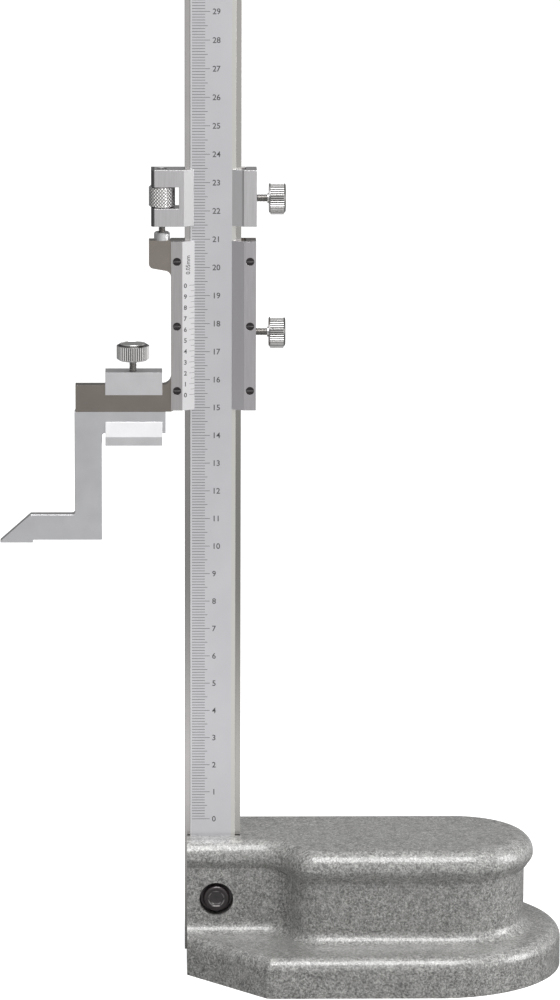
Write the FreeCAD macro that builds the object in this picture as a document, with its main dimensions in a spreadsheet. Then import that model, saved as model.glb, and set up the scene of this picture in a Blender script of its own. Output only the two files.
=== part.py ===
import FreeCAD, Part
import math
import os
import re
import Sketcher

# A 300 mm vernier height gauge.
# Frame of the part: +Z up from the ground underside of the base, X = 0 on the centre line of
# the beam, Y = 0 on the graduated face of the beam, which faces -Y. Lengths are millimetres.
# The slider stands at a reading of about 155 mm.

SIZES = [
    # beam
    ("beam_width", 19.8),
    ("beam_thickness", 4.6),
    ("beam_face_width", 15.9),
    ("shoulder_depth", 0.8),
    ("beam_top", 440.0),
    ("beam_edge_break", 0.3),
    # base casting
    ("base_left", 9.15),
    ("foot_radius", 45.3),
    ("foot_height", 14.2),
    ("foot_corner_half", 16.7),
    ("foot_corner_run", 28.3),
    ("foot_corner_round", 2.5),
    ("foot_back_cut", 10.0),
    ("foot_round", 4.4),
    ("deck_reach", 114.8),
    ("foot_lead", 10.0),
    ("deck_radius", 27.7),
    ("deck_height", 47.4),
    ("deck_rim", 7.3),
    ("deck_round", 6.0),
    ("deck_under", 3.6),
    ("deck_under_slope", 35.0),
    ("deck_belly_round", 3.0),
    ("neck_half", 12.2),
    ("neck_inset", 1.6),
    ("waist_inset", 3.2),
    ("waist_round", 4.0),
    ("flare_start", 25.6),
    ("flare_length", 20.5),
    ("waist_flare_shift", 2.0),
    ("relief_depth", 2.0),
    ("relief_land", 10.0),
    ("relief_start", 26.0),
    ("socket_floor", 4.9),
    ("socket_clearance", 0.05),
    # screw that holds the beam in the base
    ("clamp_screw_x", 1.3),
    ("clamp_screw_height", 26.2),
    ("clamp_screw_bore", 12.1),
    ("clamp_screw_seat", 3.0),
    ("clamp_head_diameter", 9.6),
    ("clamp_head_height", 4.0),
    ("clamp_head_chamfer", 0.7),
    ("clamp_shank_diameter", 5.9),
    ("clamp_shank_clearance", 0.5),
    ("clamp_thread_clearance", 0.05),
    ("clamp_washer_diameter", 11.8),
    ("clamp_washer_thickness", 1.0),
    ("clamp_hex_key", 5.0),
    ("clamp_hex_depth", 2.6),
    ("clamp_end_gap", 0.2),
    # slider
    ("slider_bottom", 203.0),
    ("slider_height", 60.1),
    ("slider_left", 14.7),
    ("slider_right", 15.05),
    ("guide_clearance", 0.05),
    ("back_wall", 1.15),
    ("gib_space", 1.6),
    ("gib_thickness", 1.1),
    ("gib_end_gap", 0.6),
    ("plate_thickness", 2.4),
    ("plate_lip", 0.2),
    ("face_clearance", 0.08),
    ("vernier_edge", 6.45),
    ("vernier_bevel", 4.25),
    ("retainer_edge", 6.65),
    ("retainer_bevel", 4.2),
    ("wing_thickness", 4.6),
    ("lug_left", 22.4),
    ("lug_depth_left", 9.7),
    ("lug_depth_right", 11.4),
    ("lug_corner_round", 1.8),
    ("lug_inner_round", 2.2),
    ("arm_left", 48.25),
    ("arm_drop", 0.9),
    ("arm_height", 9.5),
    ("arm_root_round", 3.0),
    ("wing_overlap", 2.0),
    ("step_gap", 0.1),
    ("gib_roof_gap", 0.3),
    # plate screws
    ("plate_screw_first", 7.0),
    ("plate_screw_pitch", 23.0),
    ("plate_screw_count", 3),
    ("plate_screw_inset", 2.1),
    ("plate_screw_head", 2.8),
    ("plate_screw_head_depth", 1.1),
    ("plate_screw_sink", 0.15),
    ("plate_screw_shank", 1.6),
    ("plate_screw_length", 4.6),
    ("plate_screw_slot", 0.45),
    ("plate_screw_slot_depth", 0.5),
    ("tap_run_out", 0.4),
    ("fit_clearance", 0.04),
    # fine feed
    ("carrier_gap", 5.3),
    ("carrier_height", 19.9),
    ("carrier_left", 21.6),
    ("carrier_right", 15.25),
    ("carrier_bevel_edge", 6.65),
    ("carrier_bevel", 3.5),
    ("carrier_retainer_edge", 6.75),
    ("carrier_retainer_bevel", 4.0),
    ("carrier_end_round", 1.2),
    ("notch_bottom", 6.3),
    ("notch_height", 7.6),
    ("notch_wall", 11.9),
    ("feed_rod_x", 17.8),
    ("feed_rod_diameter", 2.5),
    ("feed_rod_reach", 24.3),
    ("feed_rod_embed", 8.0),
    ("feed_rod_bore", 3.7),
    ("feed_nut_diameter", 9.3),
    ("feed_nut_play", 0.15),
    ("feed_nut_chamfer", 0.5),
    ("feed_collar_diameter", 5.6),
    ("feed_collar_height", 2.8),
    ("feed_collar_round", 0.5),
    ("thread_clearance", 0.04),
    ("thread_lead", 0.4),
    # thumb screws
    ("knob_diameter", 11.5),
    ("knob_length", 5.6),
    ("knob_chamfer", 0.65),
    ("knob_crown", 0.9),
    ("knob_crown_face", 5.0),
    ("knob_boss_diameter", 4.0),
    ("knob_boss_length", 1.0),
    ("knurl_count", 44),
    ("knurl_depth", 0.3),
    ("knurl_crest", 0.24),
    ("knurl_core_gap", 0.06),
    ("stem_diameter", 2.7),
    ("stem_embed", 3.0),
    ("stem_tip_gap", 0.05),
    ("lock_knob_face", 20.0),
    ("slider_lock_drop", 2.7),
    ("carrier_lock_height", 9.4),
    ("clamp_knob_height", 18.6),
    # scriber and its clamp
    ("scriber_thickness", 4.2),
    ("scriber_shank_height", 7.75),
    ("scriber_right", 16.55),
    ("scriber_leg_left", 48.6),
    ("scriber_leg_width", 9.6),
    ("scriber_heel_drop", 46.2),
    ("scriber_tip_drop", 47.2),
    ("scriber_foot_height", 9.1),
    ("scriber_slope_start", 64.2),
    ("scriber_step", 63.4),
    ("scriber_tip", 75.0),
    ("scriber_edge_height", 0.5),
    ("scriber_seat_gap", 0.02),
    ("scriber_corner_round", 1.0),
    ("clamp_left", 37.75),
    ("clamp_length", 20.0),
    ("clamp_roof_gap", 0.4),
    ("clamp_roof", 4.5),
    ("clamp_floor", 4.0),
    ("clamp_back", 1.15),
    ("clamp_lip", 1.9),
    ("clamp_lip_edge", 0.35),
    ("clamp_upper_lip_drop", 3.15),
    ("clamp_lower_lip_rise", 4.2),
    ("clamp_bevel_height", 5.1),
    ("clamp_side_clearance", 0.05),
    ("clamp_screw_from_left", 9.7),
    # how far the outline of a cut passes the material
    ("cut_beyond", 1.0),
]

doc = FreeCAD.newDocument("height_gauge")
sizes = doc.addObject("Spreadsheet::Sheet", "Sizes")
for row, (alias, value) in enumerate(SIZES, start=1):
    sizes.set(f"A{row}", alias.replace("_", " "))
    sizes.set(f"B{row}", str(value))
    sizes.setAlias(f"B{row}", alias)
doc.recompute()

ALIASES = {alias for alias, _ in SIZES}

# Dimensions that several pieces share, each worked out from the sheet.
BEAM_HALF = "beam_width / 2"
BEAM_BACK = "beam_thickness"
MID_PLANE = "(beam_thickness / 2)"
GUIDE_LEFT = "(beam_width / 2 + guide_clearance)"
GUIDE_RIGHT = "(beam_width / 2 + gib_space)"
GUIDE_BACK = "(beam_thickness + guide_clearance)"
SLIDER_BACK = "(beam_thickness + guide_clearance + back_wall)"
FACE_HALF = "(beam_face_width / 2)"
FOOT_CENTRE = "(deck_reach + foot_lead - foot_radius)"
DECK_CENTRE = "(deck_reach - deck_radius)"
LAND = "(shoulder_depth - guide_clearance)"
STEP_HALF = "(beam_face_width / 2 + step_gap)"
GIB_INNER = "(beam_width / 2 + guide_clearance)"
GIB_OUTER = "(beam_width / 2 + guide_clearance + gib_thickness)"
PLATE_ROOT = "-(slider_left - wing_overlap)"
ARM_BOTTOM = "(slider_bottom - arm_drop)"
SLIDER_TOP = "(slider_bottom + slider_height)"
CARRIER_BOTTOM = "(slider_bottom + slider_height + carrier_gap)"
WING_MIDDLE = "(wing_thickness / 2)"
SLIDER_LOCK_HEIGHT = "(plate_screw_first + plate_screw_pitch - slider_lock_drop)"
CLAMP_SCREW_LINE = "(clamp_left - clamp_screw_from_left)"


def formula(text):
    """A size formula, with every alias read from the sheet."""
    def from_sheet(match):
        word = match.group()
        return f"Sizes.{word}" if word in ALIASES else word
    return re.sub(r"[a-z][a-z_]*", from_sheet, text)


def number(text):
    """The present value of a size formula."""
    return float(sizes.evalExpression(formula(text)))


def new_body(name, x="0", y="0", z="0", rotation=None):
    """An empty body whose own origin stands at x, y, z of the part."""
    body = doc.addObject("PartDesign::Body", name)
    body.Label = name
    body.Placement = FreeCAD.Placement(FreeCAD.Vector(), rotation or FreeCAD.Rotation())
    for axis, text in (("x", x), ("y", y), ("z", z)):
        body.setExpression(f"Placement.Base.{axis}", formula(text))
    return body


def new_sketch(body, name, plane, offset="0"):
    """A sketch on one of the body's origin planes, moved along the plane's normal."""
    sketch = body.newObject("Sketcher::SketchObject", name)
    support = next(item for item in body.Origin.OriginFeatures if item.Role == plane)
    sketch.AttachmentSupport = [(support, "")]
    sketch.MapMode = "FlatFace"
    sketch.setExpression("AttachmentOffset.Base.z", formula(offset))
    return sketch


def pin_point(sketch, geometry, point, x, y):
    """Dimensions one point of a sketch from the sketch's origin."""
    for kind, text in (("DistanceX", x), ("DistanceY", y)):
        if text is None:
            continue
        constraint = Sketcher.Constraint(kind, -1, 1, geometry, point, number(text))
        index = sketch.addConstraint(constraint)
        sketch.setExpression(f"Constraints[{index}]", formula(text))


def outline(body, name, plane, corners, offset="0", arcs=None):
    """A closed outline through the corners, counter-clockwise. The side that starts at corner
    number k is a line, or where arcs[k] gives a centre and "out" or "in", an arc about that
    centre which bulges out of the outline or into it."""
    sketch = new_sketch(body, name, plane, offset)
    arcs = arcs or {}
    points = [FreeCAD.Vector(number(x), number(y), 0) for x, y in corners]
    count = len(points)
    first = {}
    last = {}
    for index, start in enumerate(points):
        end = points[(index + 1) % count]
        first[index], last[index] = 1, 2
        if index not in arcs:
            sketch.addGeometry(Part.LineSegment(start, end), False)
            continue
        x, y, bulge = arcs[index]
        middle = FreeCAD.Vector(number(x), number(y), 0)
        if bulge == "in":
            start, end = end, start
            first[index], last[index] = 2, 1
        circle = Part.Circle(middle, FreeCAD.Vector(0, 0, 1), (start - middle).Length)
        angles = [math.atan2(p.y - middle.y, p.x - middle.x) for p in (start, end)]
        sketch.addGeometry(Part.ArcOfCircle(circle, *angles), False)
    for index in range(count):
        following = (index + 1) % count
        sketch.addConstraint(Sketcher.Constraint("Coincident", index, last[index],
                                                 following, first[following]))
    for index, (x, y) in enumerate(corners):
        pin_point(sketch, index, first[index], x, y)
    for index, (x, _, _) in arcs.items():
        pin_point(sketch, index, 3, x, None)
    return sketch


def circle_sketch(body, name, plane, places, diameter, offset="0"):
    """Circles of one diameter about the given places."""
    sketch = new_sketch(body, name, plane, offset)
    for index, (x, y) in enumerate(places):
        middle = FreeCAD.Vector(number(x), number(y), 0)
        normal = FreeCAD.Vector(0, 0, 1)
        sketch.addGeometry(Part.Circle(middle, normal, number(diameter) / 2), False)
        pin_point(sketch, index, 3, x, y)
        constraint = Sketcher.Constraint("Diameter", index, number(diameter))
        size = sketch.addConstraint(constraint)
        sketch.setExpression(f"Constraints[{size}]", formula(diameter))
    return sketch


def pad(body, sketch, length, reverse=False, both=False):
    """Adds the sketch's outline, drawn out along its normal."""
    feature = body.newObject("PartDesign::Pad", f"{sketch.Name}_pad")
    feature.Profile = sketch
    feature.setExpression("Length", formula(length))
    feature.Reversed = reverse
    feature.Midplane = both
    sketch.Visibility = False
    doc.recompute()
    return feature


def pocket(body, sketch, length, reverse=False, both=False):
    """Cuts the sketch's outline out of the body and checks that something was cut."""
    before = body.Shape.Volume
    feature = body.newObject("PartDesign::Pocket", f"{sketch.Name}_cut")
    feature.Profile = sketch
    feature.setExpression("Length", formula(length))
    feature.Reversed = reverse
    feature.Midplane = both
    sketch.Visibility = False
    doc.recompute()
    if not body.Shape.Volume < before:
        raise ValueError(f"{feature.Name} of {body.Label} cuts nothing")
    return feature


def revolve(body, sketch):
    """Turns the sketch's outline once about the sketch's own upright axis."""
    feature = body.newObject("PartDesign::Revolution", f"{sketch.Name}_turned")
    feature.Profile = sketch
    feature.ReferenceAxis = (sketch, ["V_Axis"])
    feature.Angle = 360
    sketch.Visibility = False
    doc.recompute()
    return feature


def dress(body, kind, size, wanted, name):
    """A fillet or chamfer of one size on every edge of the body that is wanted."""
    base = body.Tip
    names = [f"Edge{index}" for index, edge in enumerate(base.Shape.Edges, start=1) if wanted(edge)]
    if not names:
        raise ValueError(f"no edge for {name} of {body.Label}")
    feature = body.newObject(f"PartDesign::{kind}", name)
    feature.Base = (base, names)
    feature.setExpression("Radius" if kind == "Fillet" else "Size", formula(size))
    doc.recompute()
    if "Invalid" in feature.State or feature.Shape.isNull():
        raise ValueError(f"{name} of {body.Label} failed on {len(names)} edges")
    return feature


def near(a, b):
    """Whether two lengths are the same to a thousandth of a millimetre."""
    return abs(a - b) < 1e-3


def ends(edge):
    """The two end points of an edge."""
    return edge.firstVertex().Point, edge.lastVertex().Point


def upright_at(x, y, low=-1e6, high=1e6):
    """Tests for the vertical edge at x, y that lies between two heights."""
    def test(edge):
        a, b = ends(edge)
        here = all(near(p.x, x) and near(p.y, y) for p in (a, b))
        return here and min(a.z, b.z) > low - 1e-3 and max(a.z, b.z) < high + 1e-3
    return test


def all_at(axis, value):
    """Tests for an edge that lies wholly at one coordinate."""
    def test(edge):
        box = edge.BoundBox
        low = getattr(box, f"{axis}Min")
        high = getattr(box, f"{axis}Max")
        return near(low, value) and near(high, value)
    return test


def along_y_at(x, z):
    """Tests for an edge along Y that stands at x, z."""
    def test(edge):
        box = edge.BoundBox
        thin = box.XLength < 1e-3 and box.ZLength < 1e-3
        return thin and near(box.XMin, x) and near(box.ZMin, z)
    return test


def plan_middle(edge):
    """Where the middle of an edge lies in plan, to a hundredth of a millimetre."""
    middle = edge.valueAt((edge.FirstParameter + edge.LastParameter) / 2)
    return round(middle.x, 2), round(middle.y, 2)


def rim_at(height, left):
    """Tests for the outline edges at one height, apart from the one in the left face."""
    level = all_at("Z", height)

    def test(edge):
        return level(edge) and not near(edge.BoundBox.XMax, left)
    return test


def storey(body, name, level, half, neck, start):
    """Plan of one storey of the casting: a narrow neck in front that swings out in an S to a
    body with a half-round end. The back is straight."""
    front = f"{MID_PLANE} - "
    end = f"({start} + flare_length)"
    rise = f"({half} - {neck})"
    radius = f"((flare_length ^ 2 + {rise} ^ 2) / (4 * {rise}))"
    corners = [
        ("-base_left", front + neck),
        (start, front + neck),
        (f"{start} + flare_length / 2", f"{front}({neck} + {half}) / 2"),
        (end, front + half),
        (DECK_CENTRE, front + half),
        (DECK_CENTRE, f"{MID_PLANE} + {half}"),
        ("-base_left", f"{MID_PLANE} + {half}"),
    ]
    arcs = {
        1: (start, f"{front}({neck} + {radius})", "in"),
        2: (end, f"{front}({half} - {radius})", "out"),
        4: (DECK_CENTRE, MID_PLANE, "out"),
    }
    return outline(body, name, "XY_Plane", corners, offset=level, arcs=arcs)


def make_base():
    """Two-storey casting: a broad foot, a waist to grip and a deck with a rounded rim. Its neck
    holds the beam in a socket that is open at the left face."""
    body = new_body("base")
    left = -number("base_left")
    foot_height = number("foot_height")
    foot = [
        ("-base_left", f"{MID_PLANE} - foot_corner_half"),
        ("foot_corner_run - base_left", f"{MID_PLANE} - foot_radius"),
        (FOOT_CENTRE, f"{MID_PLANE} - foot_radius"),
        (FOOT_CENTRE, f"{MID_PLANE} + foot_radius"),
        ("foot_back_cut - base_left", f"{MID_PLANE} + foot_radius"),
        ("-base_left", f"{MID_PLANE} + foot_radius - foot_back_cut"),
    ]
    pad(body, outline(body, "foot", "XY_Plane", foot,
                      arcs={2: (FOOT_CENTRE, MID_PLANE, "out")}), "foot_height")
    for label, run, sign in (("front", "foot_corner_run", "-"), ("back", "foot_back_cut", "+")):
        corner = upright_at(number(run) + left, number(f"{MID_PLANE} {sign} foot_radius"))
        dress(body, "Fillet", "foot_corner_round", corner, f"foot_corner_{label}")

    foot_plan = {plan_middle(edge) for edge in body.Shape.Edges if all_at("Z", foot_height)(edge)}
    waist_half = "(deck_radius - waist_inset)"
    waist_neck = "(neck_half - neck_inset)"
    under_deck = "(deck_height - deck_rim - deck_under)"
    waist = storey(body, "waist", "foot_height", waist_half, waist_neck,
                   "(flare_start - base_left + waist_flare_shift)")
    pad(body, waist, "deck_height - deck_rim - foot_height")
    on_foot = rim_at(foot_height, left)
    dress(body, "Fillet", "waist_round",
          lambda edge: on_foot(edge) and plan_middle(edge) not in foot_plan, "waist_root")
    dress(body, "Fillet", "foot_round",
          lambda edge: on_foot(edge) and plan_middle(edge) in foot_plan, "foot_rim_round")

    deck_start = "(flare_start - base_left)"
    under = storey(body, "deck_under", "deck_height - deck_rim", "deck_radius", "neck_half",
                   deck_start)
    slope = pad(body, under, "deck_under", reverse=True)
    slope.setExpression("TaperAngle", formula("-deck_under_slope"))
    deck = storey(body, "deck", "deck_height - deck_rim", "deck_radius", "neck_half", deck_start)
    pad(body, deck, "deck_rim")
    belly = number("deck_height - deck_rim")
    dress(body, "Fillet", "deck_round", rim_at(number("deck_height"), left), "deck_rim_round")
    dress(body, "Fillet", "deck_belly_round", rim_at(belly, left), "deck_belly")

    # Ground underside: a shallow relief leaves a land all round and a solid pad under the beam.
    relief_half = "(foot_radius - relief_land)"
    relief = [
        ("relief_start", f"{MID_PLANE} - {relief_half}"),
        (FOOT_CENTRE, f"{MID_PLANE} - {relief_half}"),
        (FOOT_CENTRE, f"{MID_PLANE} + {relief_half}"),
        ("relief_start", f"{MID_PLANE} + {relief_half}"),
    ]
    pocket(body, outline(body, "relief", "XY_Plane", relief,
                         arcs={1: (FOOT_CENTRE, MID_PLANE, "out")}), "relief_depth", reverse=True)

    # Socket for the beam: down to its floor, and out through the left face.
    socket = [
        ("-base_left - cut_beyond", "0"),
        (f"{BEAM_HALF} + socket_clearance", "0"),
        (f"{BEAM_HALF} + socket_clearance", f"{BEAM_BACK} + socket_clearance"),
        ("-base_left - cut_beyond", f"{BEAM_BACK} + socket_clearance"),
    ]
    pocket(body, outline(body, "socket", "XY_Plane", socket, offset="socket_floor"),
           "deck_height", reverse=True)

    # Counterbore and clearance hole of the screw, from the front of the neck.
    place = [("clamp_screw_x", "clamp_screw_height")]
    pocket(body, circle_sketch(body, "counterbore", "XZ_Plane", place, "clamp_screw_bore",
                               offset="clamp_screw_seat"), "deck_radius", reverse=True)
    pocket(body, circle_sketch(body, "screw_hole", "XZ_Plane", place,
                               "clamp_shank_diameter + clamp_shank_clearance",
                               offset="0 - socket_clearance"), "deck_radius", reverse=True)
    return body


def make_beam():
    """Graduated beam: a raised scale face between two lower ground shoulders."""
    body = new_body("beam", z="socket_floor")
    section = [
        (f"-{BEAM_HALF}", "shoulder_depth"),
        (f"-{FACE_HALF}", "shoulder_depth"),
        (f"-{FACE_HALF}", "0"),
        (FACE_HALF, "0"),
        (FACE_HALF, "shoulder_depth"),
        (BEAM_HALF, "shoulder_depth"),
        (BEAM_HALF, BEAM_BACK),
        (f"-{BEAM_HALF}", BEAM_BACK),
    ]
    pad(body, outline(body, "section", "XY_Plane", section), "beam_top - socket_floor")
    dress(body, "Chamfer", "beam_edge_break", all_at("Z", number("beam_top - socket_floor")),
          "top_edge_break")
    place = [("clamp_screw_x", "clamp_screw_height - socket_floor")]
    diameter = "clamp_shank_diameter + 2 * clamp_thread_clearance"
    pocket(body, circle_sketch(body, "thread", "XZ_Plane", place, diameter, offset="cut_beyond"),
           f"{BEAM_BACK} + 2 * cut_beyond")
    return body


def turned_along_y(name, x, y, z, corners):
    """A body turned from a half profile, its axis along +Y from x, y, z."""
    body = new_body(name, x, y, z, FreeCAD.Rotation(FreeCAD.Vector(1, 0, 0), -90))
    revolve(body, outline(body, "profile", "XZ_Plane", corners))
    return body


def hexagon(across_flats):
    """Corners of a hexagon about the sketch's origin."""
    radius = f"{across_flats} / 2 / cos(30)"
    return [(f"{radius} * cos({60 * k})", f"{radius} * sin({60 * k})") for k in range(6)]


def make_clamp_screw():
    """Black cap screw that draws the beam against the front wall of its socket."""
    face = "-(clamp_screw_seat + clamp_washer_thickness + clamp_head_height)"
    head = "clamp_head_diameter / 2"
    shank = "clamp_shank_diameter / 2"
    seat = "clamp_head_height + clamp_washer_thickness"
    end = f"{seat} + clamp_screw_seat + beam_thickness - clamp_end_gap"
    profile = [
        ("0", "0"),
        (f"{head} - clamp_head_chamfer", "0"),
        (head, "clamp_head_chamfer"),
        (head, "clamp_head_height"),
        (shank, "clamp_head_height"),
        (shank, end),
        ("0", end),
    ]
    body = turned_along_y("beam_clamp_screw", "clamp_screw_x", face, "clamp_screw_height", profile)
    pocket(body, outline(body, "socket", "XY_Plane", hexagon("clamp_hex_key")),
           "clamp_hex_depth", reverse=True)
    return body


def make_clamp_washer():
    """Washer under the cap screw's head."""
    hole = "(clamp_shank_diameter + clamp_shank_clearance) / 2"
    rim = "clamp_washer_diameter / 2"
    profile = [
        (hole, "0"),
        (rim, "0"),
        (rim, "clamp_washer_thickness"),
        (hole, "clamp_washer_thickness"),
    ]
    face = "-(clamp_screw_seat + clamp_washer_thickness)"
    return turned_along_y("beam_clamp_washer", "clamp_screw_x", face, "clamp_screw_height", profile)


def screw_heights():
    """Heights of the plate screws above the slider's lower end."""
    count = round(number("plate_screw_count"))
    return [f"plate_screw_first + {index} * plate_screw_pitch" for index in range(count)]


def make_slider_frame():
    """U-section frame that runs on the beam, with the lug of the fine feed and the jaw arm."""
    body = new_body("slider_frame", z="slider_bottom")
    section = [
        ("-slider_left", "0"),
        (f"-{GUIDE_LEFT}", "0"),
        (f"-{GUIDE_LEFT}", GUIDE_BACK),
        (GUIDE_RIGHT, GUIDE_BACK),
        (GUIDE_RIGHT, "0"),
        ("slider_right", "0"),
        ("slider_right", SLIDER_BACK),
        ("-slider_left", SLIDER_BACK),
    ]
    pad(body, outline(body, "section", "XY_Plane", section), "slider_height")
    arm = [
        ("-arm_left", "-arm_drop"),
        ("-slider_left", "-arm_drop"),
        (PLATE_ROOT, "0"),
        (PLATE_ROOT, "arm_height - arm_drop"),
        ("-arm_left", "arm_height - arm_drop"),
    ]
    pad(body, outline(body, "arm", "XZ_Plane", arm), "wing_thickness", reverse=True)
    lug = [
        ("-lug_left", "slider_height - lug_depth_left"),
        (PLATE_ROOT, "slider_height - lug_depth_right"),
        (PLATE_ROOT, "slider_height"),
        ("-lug_left", "slider_height"),
    ]
    pad(body, outline(body, "lug", "XZ_Plane", lug), "wing_thickness", reverse=True)
    left = -number("slider_left")
    dress(body, "Fillet", "arm_root_round",
          along_y_at(left, number("arm_height - arm_drop")), "arm_root")
    slope = number("(lug_depth_right - lug_depth_left) / (lug_left - slider_left + wing_overlap)")
    lug_meets = number("slider_height - lug_depth_left") - slope * number("lug_left - slider_left")
    dress(body, "Fillet", "lug_inner_round", along_y_at(left, lug_meets), "lug_root")
    dress(body, "Fillet", "lug_corner_round",
          along_y_at(-number("lug_left"), number("slider_height - lug_depth_left")), "lug_corner")

    heights = screw_heights()
    places = [("-(slider_left - plate_screw_inset)", z) for z in heights]
    places += [("slider_right - plate_screw_inset", z) for z in heights]
    tapped = "plate_screw_shank + 2 * thread_clearance"
    depth = "plate_screw_length - plate_thickness + plate_screw_sink + tap_run_out"
    pocket(body, circle_sketch(body, "plate_threads", "XZ_Plane", places, tapped,
                               offset="cut_beyond"), f"{depth} + cut_beyond")
    pocket(body, circle_sketch(body, "lock_thread", "YZ_Plane",
                               [(WING_MIDDLE, SLIDER_LOCK_HEIGHT)],
                               "stem_diameter + 2 * thread_clearance", offset=BEAM_HALF),
           "slider_right", reverse=True)
    pocket(body, circle_sketch(body, "rod_thread", "XY_Plane", [("-feed_rod_x", WING_MIDDLE)],
                               "feed_rod_diameter + 2 * thread_clearance",
                               offset="slider_height + cut_beyond"),
           "feed_rod_embed + tap_run_out + cut_beyond")
    return body


def make_vernier_plate():
    """Plate screwed on the left of the frame: a land that runs on the beam's shoulder and a
    bevelled edge for the vernier."""
    body = new_body("vernier_plate", z="slider_bottom")
    section = [
        ("-slider_left", "-plate_thickness"),
        ("-(vernier_edge + vernier_bevel)", "-plate_thickness"),
        ("-vernier_edge", "-(face_clearance + plate_lip)"),
        ("-vernier_edge", "-face_clearance"),
        (f"-{STEP_HALF}", "-face_clearance"),
        (f"-{STEP_HALF}", LAND),
        (f"-{GUIDE_LEFT}", LAND),
        (f"-{GUIDE_LEFT}", "0"),
        ("-slider_left", "0"),
    ]
    pad(body, outline(body, "section", "XY_Plane", section), "slider_height")
    drill_plate(body, "-(slider_left - plate_screw_inset)")
    return body


def make_retaining_plate():
    """Plate screwed on the right of the frame, its bevel mirrored."""
    body = new_body("retaining_plate", z="slider_bottom")
    section = [
        ("slider_right", "-plate_thickness"),
        ("slider_right", "0"),
        (GUIDE_RIGHT, "0"),
        (GUIDE_RIGHT, "-gib_roof_gap"),
        (BEAM_HALF, "-gib_roof_gap"),
        (BEAM_HALF, LAND),
        (STEP_HALF, LAND),
        (STEP_HALF, "-face_clearance"),
        ("retainer_edge", "-face_clearance"),
        ("retainer_edge", "-(face_clearance + plate_lip)"),
        ("retainer_edge + retainer_bevel", "-plate_thickness"),
    ]
    pad(body, outline(body, "section", "XY_Plane", section), "slider_height")
    drill_plate(body, "slider_right - plate_screw_inset")
    return body


def drill_plate(body, x):
    """Counterbored holes for the plate screws."""
    places = [(x, z) for z in screw_heights()]
    pocket(body, circle_sketch(body, "head_bores", "XZ_Plane", places,
                               "plate_screw_head + 2 * fit_clearance",
                               offset="plate_thickness - plate_screw_sink - plate_screw_head_depth"),
           "plate_thickness", reverse=True)
    pocket(body, circle_sketch(body, "shank_bores", "XZ_Plane", places,
                               "plate_screw_shank + 2 * thread_clearance",
                               offset="-cut_beyond"),
           "plate_thickness + 2 * cut_beyond", reverse=True)


def make_plate_screws(name, x):
    """A row of slotted cheese-head screws, flush in their plate."""
    group = []
    for index, height in enumerate(screw_heights(), start=1):
        face = "-(plate_thickness - plate_screw_sink)"
        head = "plate_screw_head / 2"
        shank = "plate_screw_shank / 2"
        profile = [
            ("0", "0"),
            (head, "0"),
            (head, "plate_screw_head_depth"),
            (shank, "plate_screw_head_depth"),
            (shank, "plate_screw_length"),
            ("0", "plate_screw_length"),
        ]
        body = turned_along_y(f"{name}_{index}", x, face, f"slider_bottom + {height}", profile)
        slot = [
            (f"-{head} - cut_beyond", "-plate_screw_slot / 2"),
            (f"{head} + cut_beyond", "-plate_screw_slot / 2"),
            (f"{head} + cut_beyond", "plate_screw_slot / 2"),
            (f"-{head} - cut_beyond", "plate_screw_slot / 2"),
        ]
        pocket(body, outline(body, "slot", "XY_Plane", slot), "plate_screw_slot_depth", reverse=True)
        group.append(body)
    row = doc.addObject("Part::Compound", name)
    row.Label = name
    row.Links = group
    doc.recompute()
    return row


def make_gib(name, bottom, height):
    """Flat strip between the right wall and the beam, which the lock screw presses."""
    body = new_body(name, z=bottom)
    section = [
        (GIB_INNER, "shoulder_depth"),
        (GIB_OUTER, "shoulder_depth"),
        (GIB_OUTER, BEAM_BACK),
        (GIB_INNER, BEAM_BACK),
    ]
    pad(body, outline(body, "section", "XY_Plane", section, offset="gib_end_gap"),
        f"{height} - 2 * gib_end_gap")
    return body


def make_feed_rod():
    """Threaded rod that stands in the slider's lug and carries the feed nut."""
    body = new_body("feed_rod", "-feed_rod_x", WING_MIDDLE, SLIDER_TOP)
    radius = "feed_rod_diameter / 2"
    profile = [
        ("0", "-feed_rod_embed"),
        (radius, "-feed_rod_embed"),
        (radius, "feed_rod_reach - thread_lead"),
        (f"{radius} - thread_lead", "feed_rod_reach"),
        ("0", "feed_rod_reach"),
    ]
    revolve(body, outline(body, "profile", "XZ_Plane", profile))
    return body


def make_feed_collar():
    """Round nut that locks the rod down on the lug."""
    body = new_body("feed_rod_collar", "-feed_rod_x", WING_MIDDLE, SLIDER_TOP)
    bore = "feed_rod_diameter / 2 + thread_clearance"
    rim = "feed_collar_diameter / 2"
    profile = [
        (bore, "0"),
        (rim, "0"),
        (rim, "feed_collar_height - feed_collar_round"),
        (f"{rim} - feed_collar_round", "feed_collar_height"),
        (bore, "feed_collar_height"),
    ]
    revolve(body, outline(body, "profile", "XZ_Plane", profile))
    return body


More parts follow.
